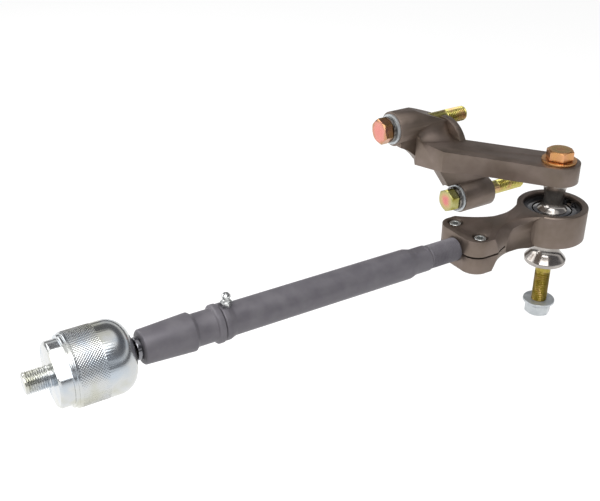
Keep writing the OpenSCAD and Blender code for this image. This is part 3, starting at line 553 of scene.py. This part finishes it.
def root_fillet(name, left, right):
    """The fillet between the arm's top and the upper boss, carried along the boss from left to
    right. Each section is an arc that touches both: its centre lies one radius r above the
    arm's top and r + BOSS_R from the boss's axis. r grows by a smooth step over 20 mm, and
    shrinks again so that the arc stays 0.4 mm under the boss's sloping crown. The rest of the
    section is buried, and the left end follows the side of the block below it."""
    x = np.linspace(left, right, STATIONS)
    grown = np.clip((x - left) / 20.0, 0, 1)
    radius = LEAST_R + (WIDEST_R - LEAST_R) * grown ** 2 * (3 - 2 * grown)
    room = BOSS_R - 0.4 - np.clip(x - CROWN_X, 0, None) * math.tan(CROWN_SLOPE)
    radius = np.minimum(radius, BOSS_R * (UPPER_Z - ARM_TOP + room) / np.maximum(BOSS_R - room, 0.5))
    rise = ARM_TOP + radius - UPPER_Z
    reach = np.sqrt((radius + BOSS_R) ** 2 - rise ** 2)
    turn = np.linspace(0, 1, 18)[None, :] * np.arctan2(reach, rise)[:, None]
    y = (KNUCKLE_Y - reach)[:, None] + (radius - 0.03)[:, None] * np.sin(turn)
    z = (ARM_TOP + radius)[:, None] - (radius - 0.03)[:, None] * np.cos(turn)
    y = np.column_stack([y, np.full((STATIONS, 2), KNUCKLE_Y - 8), y[:, 0]])
    z = np.column_stack([z, z[:, -1], np.full((STATIONS, 2), ARM_TOP - 5)])
    side = left + np.clip(BLOCK_TIP_Y - y, 0, None) * BLOCK_LEAN
    share = ((x - left) / (right - left))[:, None]
    points = np.stack([side + (right - side) * share, y, z], -1).reshape(-1, 3)
    return placed(name, points, tube_faces(STATIONS, y.shape[1]), sharp=40)


fitted(root_fillet("brace_arm_root", BEARING_X - 75.2, BEARING_X - 40.0), anodised, "knuckle_side", "billet")


# Pivot and knuckle bolts: M14 steel, yellow zinc plated and passivated. The pivot's head is
# copper and olive; the knuckle bolts' heads flash salmon pink, with yellow-green round that.
HEX_ACROSS, BOLT_PITCH = 21.0, 2.0


def passivated(name, centre, along, reach, colours):
    """Yellow passivated zinc: a ramp of colours follows the distance from the bolt's axis, up
    to the given reach, and a cloudy noise of about 6 mm stirs it."""
    material, out = blank(name)
    place = add(material, "ShaderNodeTexCoord")
    moved = add(material, "ShaderNodeVectorMath", {"operation": "SUBTRACT"}, in0=place.outputs["Object"],
                in1=tuple(c * MM for c in centre))
    keep = tuple(1.0 - abs(a) for a in along)
    across = add(material, "ShaderNodeVectorMath", {"operation": "MULTIPLY"}, in0=moved.outputs[0], in1=keep)
    far = add(material, "ShaderNodeVectorMath", {"operation": "LENGTH"}, in0=across.outputs[0])
    cloud = add(material, "ShaderNodeTexNoise", Vector=place.outputs["Object"], Scale=170.0, Detail=3.0)
    stir = add(material, "ShaderNodeMath", {"operation": "MULTIPLY_ADD"}, in0=cloud.outputs["Fac"],
               in1=0.006, in2=far.outputs["Value"])
    part = add(material, "ShaderNodeMapRange", Value=stir.outputs[0], in1=0.003, in2=reach * MM)
    tone = add(material, "ShaderNodeValToRGB", Fac=part.outputs[0])
    ramp = tone.color_ramp.elements
    ramp[0].position, ramp[0].color = 0.0, srgb(colours[0])
    ramp[1].position, ramp[1].color = 1.0, srgb(colours[-1])
    for index, colour in enumerate(colours[1:-1]):
        ramp.new((index + 1) / (len(colours) - 1)).color = srgb(colour)
    gloss = add(material, "ShaderNodeMapRange", Value=cloud.outputs["Fac"],
                in1=0.3, in2=0.7, in3=0.22, in4=0.34)
    shader = add(material, "ShaderNodeBsdfPrincipled", Base_Color=tone.outputs["Color"], Metallic=1.0,
                 Roughness=gloss.outputs[0])
    material.node_tree.links.new(shader.outputs[0], out.inputs[0])
    return material


def bolt(name, length, thread, start, along, turn, material, shank, node):
    """A bolt: a hexagon head 8.8 mm high with a 30 degree chamfer, a plain shank and a thread.
    Station 0 is the underside of the head, and all below it has the shank's finish. The head
    is turned by so many degrees."""
    def form(station, angle, radius):
        """Hexagon on the head and thread on the shank."""
        head = (station > 0.01) & (radius > 7.2)
        hexed = np.minimum(radius, hexagon(HEX_ACROSS, angle, math.radians(turn)))
        return threaded(station, angle, np.where(head, hexed, radius), 0.6 - length, thread - length,
                        BOLT_PITCH)
    profile = rounded([(-length, 0.0), (-length, 5.7), (1.3 - length, 7.0), (thread - length, 7.0),
                       (thread - length + 0.8, 6.85), (0.0, 6.85), (0.0, 9.9), (0.5, 10.2), (0.55, 12.2),
                       (7.5, 12.2), (8.75, 9.9), (8.8, 9.6), (8.8, 0.0)], 0.25)
    profile = divided(divided(profile, 0.18, -length + 0.3, thread - length + 0.5), 0.15, 7.0, 8.79)
    made = fitted(turned(name, profile, 72, start, along, form, sharp=28), material, "knuckle_side",
                  "yellow_zinc", node)
    made.data.materials.append(shank)
    middle = np.empty(len(made.data.polygons) * 3)
    made.data.polygons.foreach_get("center", middle)
    below = (middle.reshape(-1, 3) - np.asarray(start) * MM) @ np.asarray(along, float) < 0
    made.data.polygons.foreach_set("material_index", below.astype(int))


# Below the head the passivation is a greener yellow, and darker on the pivot bolt. A flat
# washer 2.5 mm thick lies under each head, with a spring washer of 3.5 mm on the knuckle bolts.
UPPER_SEAT_X, LOWER_SEAT_X = BEARING_X - 93.0, BEARING_X - 6.7
FLAT_WASHER, WASHER_STACK = 2.5, 6.02
olive_shank = metal("olive_zinc_shank", ["#8E7C36", "#A39448", "#B39A62"], (0.24, 0.36), 8.0)
yellow_shank = metal("yellow_green_zinc_shank", ["#B9AE66", "#C2BA70", "#C9A27E"], (0.22, 0.32), 16.0)
bolt("pivot_bolt_threaded", 152.0, 42.0, (BEARING_X, 0, ARM_TOP + FLAT_WASHER + 0.02), (0, 0, 1), 29.0,
     passivated("yellow_zinc_pivot_bolt", (BEARING_X, 0, 0), (0, 0, 1), 16.0,
                ["#B07A4A", "#B98A50", "#A98C4C", "#C8945E", "#DA9F74"]), olive_shank, "pivot_bolt")
bolt("knuckle_bolt_upper_threaded", 90.0, 24.0, (UPPER_SEAT_X - WASHER_STACK, KNUCKLE_Y, UPPER_Z), (-1, 0, 0),
     -15.0, passivated("yellow_zinc_upper_bolt", (0, KNUCKLE_Y, UPPER_Z), (1, 0, 0), 18.0,
                       ["#DE9086", "#DE9086", "#DC968A", "#B48A60", "#8E7840"]), yellow_shank,
     "knuckle_bolt_upper")
bolt("knuckle_bolt_lower_threaded", 90.0, 34.0, (LOWER_SEAT_X - WASHER_STACK, KNUCKLE_Y, LOWER_Z), (-1, 0, 0),
     28.0, passivated("yellow_zinc_lower_bolt", (0, KNUCKLE_Y, LOWER_Z), (1, 0, 0), 15.5,
                      ["#D07A80", "#D68A80", "#C4A87C", "#B0AC78", "#8E8636"]), yellow_shank,
     "knuckle_bolt_lower")


# Washers: a thick copper-yellow washer under the pivot bolt's head, and a silver flat washer
# with a split spring washer under each knuckle bolt's head. All are stamped or coiled steel.
WASHER_BORE_R = 7.3


def washer(name, outer, thick, start, along, material, slot, node):
    """A stamped ring with eased edges."""
    ring = rounded([(0.0, WASHER_BORE_R), (0.0, outer), (thick, outer), (thick, WASHER_BORE_R),
                    (0.0, WASHER_BORE_R)], 0.35)[:-1]
    fitted(turned(name, ring, 96, start, along), material, "knuckle_side", slot, node)


nut_zinc = metal("pale_zinc_plating", ["#B4B9BC", "#CACED0"], (0.28, 0.38), 7.0, metallic=0.7)
orange_zinc = metal("orange_zinc_plating", ["#C48A58", "#D0A068"], (0.25, 0.35), 5.0)
washer("pivot_washer_zinc", 15.0, FLAT_WASHER, (BEARING_X, 0, ARM_TOP), (0, 0, 1), orange_zinc, "yellow_zinc",
       "pivot_washer")
SEATS = (("upper", UPPER_SEAT_X, UPPER_Z), ("lower", LOWER_SEAT_X, LOWER_Z))
for name, x, z in SEATS:
    washer("flat_washer_" + name, 14.0, FLAT_WASHER - 0.05, (x, KNUCKLE_Y, z), (-1, 0, 0), nut_zinc,
           "bright_zinc", "knuckle_washers")


def split_washer(name, outer, thick, lead, start, along):
    """A spring washer: a square section carried round 352 degrees of a helix that climbs by
    lead; both ends are closed, and every corner of the section but the first is eased."""
    along = np.asarray(along, float)
    u = np.cross((0, 1, 0), along)
    v = np.cross(along, u)
    section = rounded([(0, WASHER_BORE_R), (0, outer), (thick, outer), (thick, WASHER_BORE_R),
                       (0, WASHER_BORE_R)], 0.3, 3)[:-1]
    turn = np.radians(np.linspace(20, 372, 90))[:, None]
    station = (section[:, 0] + (turn / turn[-1] - 0.5) * lead)[..., None]
    radius = section[:, 1][None, :, None]
    points = (np.asarray(start, float) + station * along
              + radius * (np.cos(turn)[..., None] * u + np.sin(turn)[..., None] * v)).reshape(-1, 3)
    return placed(name, points, tube_faces(len(turn), len(section)))


bright_spring = metal("zinc_spring_steel", ["#6E6A66", "#8A8682"], (0.2, 0.3), 4.0)
for name, x, z in SEATS:
    fitted(split_washer("lock_washer_" + name, 12.0, 3.3, 0.35, (x - FLAT_WASHER, KNUCKLE_Y, z), (-1, 0, 0)),
           bright_spring, "knuckle_side", "spring_steel", "knuckle_lock_washers")


# Flange nut: M14 steel, zinc plated a pale blue-white, with its flange towards the steering
# arm, which the nut clamps against the lower spacer.
def nut_form(station, angle, radius):
    """The hexagon below the flange; the flange itself stays round, and so does the bore."""
    return np.where((radius > 8.5) & (station < 9.7), np.minimum(radius, hexagon(HEX_ACROSS, angle)), radius)


nut = rounded([(0.0, 7.0), (0.0, 9.9), (1.3, 12.2), (9.6, 12.2), (9.7, 11.3), (12.0, 14.5), (13.6, 14.5),
               (14.0, 14.1), (14.0, 7.0), (0.0, 7.0)], [0.2, 0.3, 0.2, 0.1, 0.3, 0.5, 0.4, 0.3])[:-1]
fitted(turned("flange_nut_zinc", divided(nut, 0.15, 0.0, 1.6), 72, (BEARING_X, 0, -97.0), (0, 0, 1), nut_form,
              sharp=28), nut_zinc, "knuckle_side", "bright_zinc", "flange_nut")
